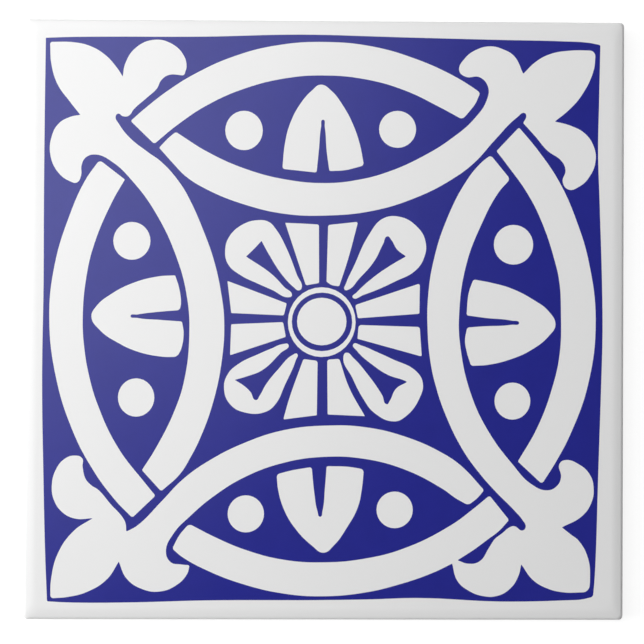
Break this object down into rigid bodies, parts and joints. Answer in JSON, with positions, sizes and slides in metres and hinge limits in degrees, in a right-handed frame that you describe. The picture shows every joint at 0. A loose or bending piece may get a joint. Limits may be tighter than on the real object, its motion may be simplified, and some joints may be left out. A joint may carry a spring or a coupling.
{
  "type": "decorated wall tile",
  "caption": "Square glazed ceramic wall tile with a cushion edge, a blue and white interlaced strapwork print and a keyed back for adhesive.",
  "frame": {"origin": "centre of the bedding face, midway between the four sides", "axes": "+Z out of the glazed face, +Y towards the top of the printed pattern, +X to the right as seen from the front"},
  "size_m": [0.1524, 0.1524, 0.0064],
  "materials": {
    "glaze": "gloss"
  },
  "bodies": {
    "root": {"tile": "glaze"}
  },
  "joints": []
}
